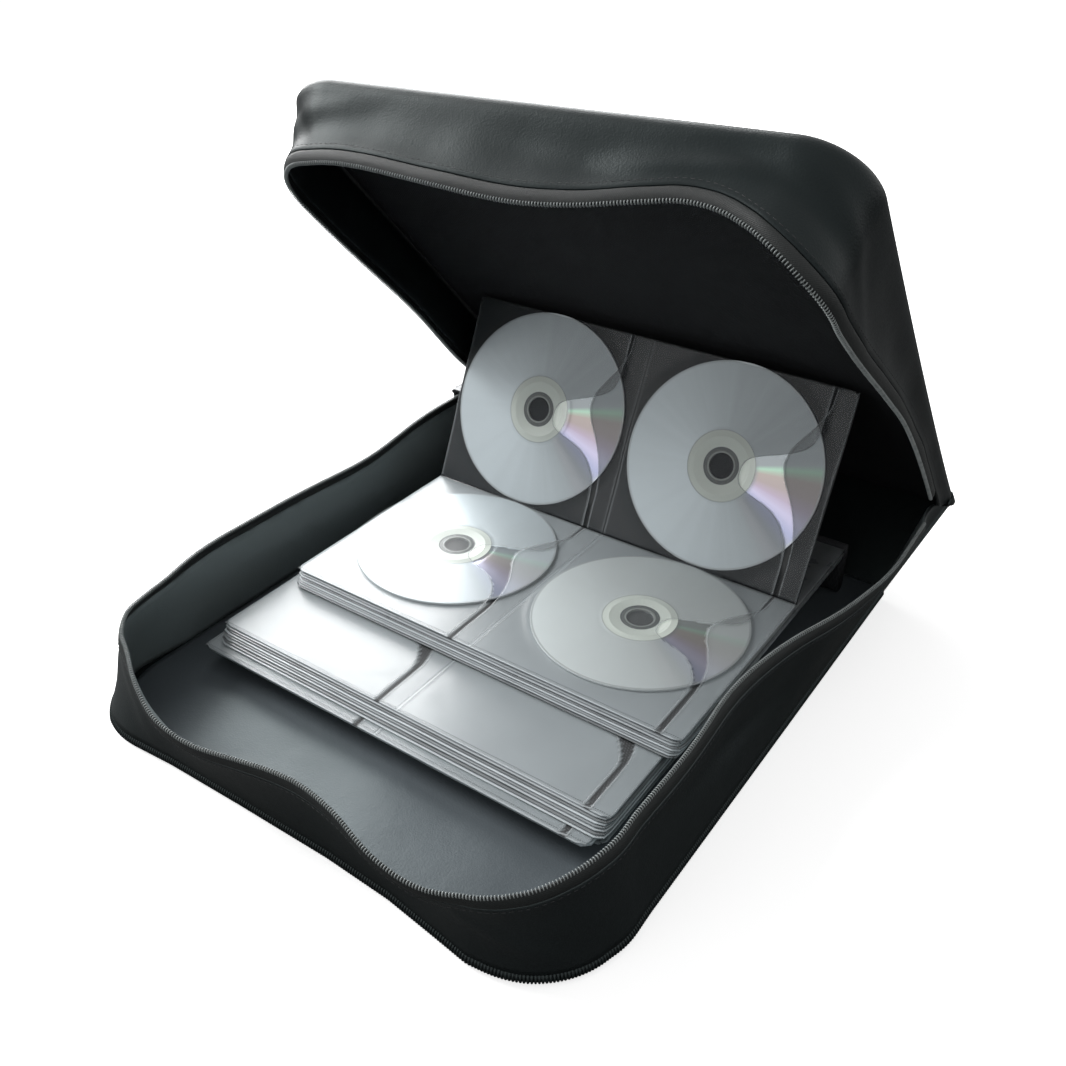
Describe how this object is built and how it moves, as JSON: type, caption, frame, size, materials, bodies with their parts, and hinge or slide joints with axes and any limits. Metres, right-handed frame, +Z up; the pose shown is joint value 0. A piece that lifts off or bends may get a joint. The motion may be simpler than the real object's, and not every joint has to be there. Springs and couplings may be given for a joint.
{
  "type": "cd storage case",
  "caption": "Zip-round disc wallet standing open: soft padded trays joined by a leaning spine, leaves of clear pockets inside, silver discs in the top leaf.",
  "frame": {"origin": "centre of the base panel's underside, on the table", "axes": "+Z up, -Y towards the zip opening's front, +X to the right as seen from the front"},
  "size_m": [0.3395, 0.4402, 0.3053],
  "materials": {
    "leatherette": "satin",
    "piping": "satin",
    "floor_lining": "satin",
    "lid_lining": "matte",
    "zip_tape": "matte",
    "zip_coil": "satin",
    "zip_metal": "satin",
    "leaf": "matte",
    "binding": "matte",
    "film": "clear gloss",
    "disc": "mirror-like silver"
  },
  "bodies": {
    "case": {"base_panel": "leatherette", "base_piping": "piping", "base_gusset": "leatherette", "base_zip_tape": "zip_tape", "base_zip_coil": "zip_coil", "base_lining": "floor_lining", "spine_panel": "leatherette", "leaf_binding": "binding", "leaves_low": "leaf", "leaves_mid": "leaf", "leaves_top": "leaf", "leaf_raised": "leaf", "disc_front_left": "disc", "disc_front_right": "disc", "disc_back_left": "disc", "disc_back_right": "disc", "film_front_left": "film", "film_front_right": "film", "film_back_left": "film", "film_back_right": "film", "film_mid_left": "film", "film_mid_right": "film"},
    "lid": {"lid_panel": "leatherette", "lid_piping": "piping", "lid_gusset": "leatherette", "lid_lining": "lid_lining", "lid_zip_tape": "zip_tape", "lid_zip_coil": "zip_coil"},
    "slider": {"zip_slider": "zip_metal"},
    "tab": {"pull_tab": "zip_metal"}
  },
  "joints": [
    {"name": "lid_fold", "type": "hinge", "parent": "case", "child": "lid", "pos_m": [0, 0.2367, 0.0455], "axis": [-1, 0, 0], "range_deg": [0, 139]},
    {"name": "zip_slide", "type": "slide", "parent": "case", "child": "slider", "axis": [0, -1, 0], "range_m": [0, 0.02]},
    {"name": "tab_swing", "type": "hinge", "parent": "slider", "child": "tab", "pos_m": [-0.15738, 0.149, 0.06586], "axis": [0, 0, 1], "range_deg": [0, 170]}
  ]
}
